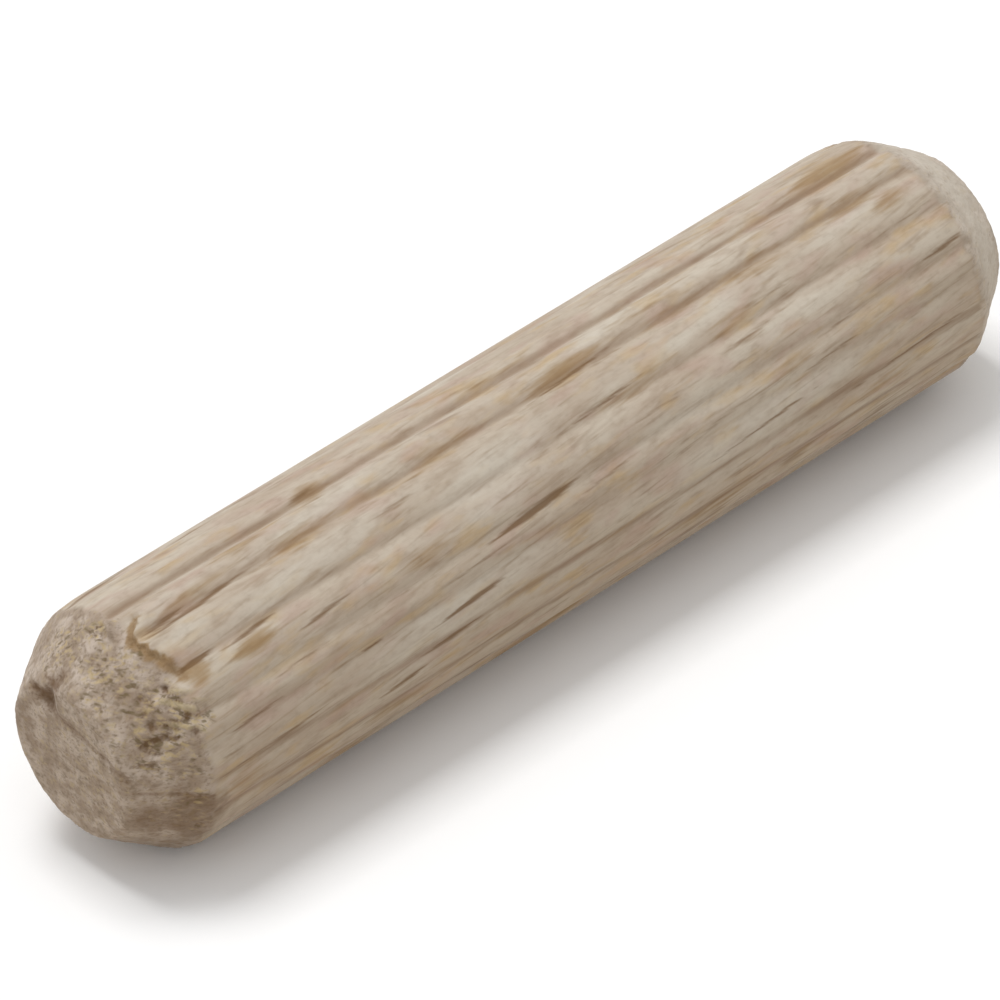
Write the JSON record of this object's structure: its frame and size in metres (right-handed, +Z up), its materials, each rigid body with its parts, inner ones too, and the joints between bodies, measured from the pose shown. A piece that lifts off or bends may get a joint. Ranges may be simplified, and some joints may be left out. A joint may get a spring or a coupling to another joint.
{
  "type": "fluted wooden dowel",
  "caption": "Short fluted hardwood dowel with chamfered ends, lying on its ridges.",
  "frame": {"origin": "on the surface under the dowel, below the middle of its length", "axes": "+X along the dowel's axis towards its right end, +Z up, away from what it lies on"},
  "size_m": [0.035, 0.008, 0.0079],
  "materials": {
    "beech": "matte"
  },
  "bodies": {
    "root": {"dowel": "beech"}
  },
  "joints": []
}
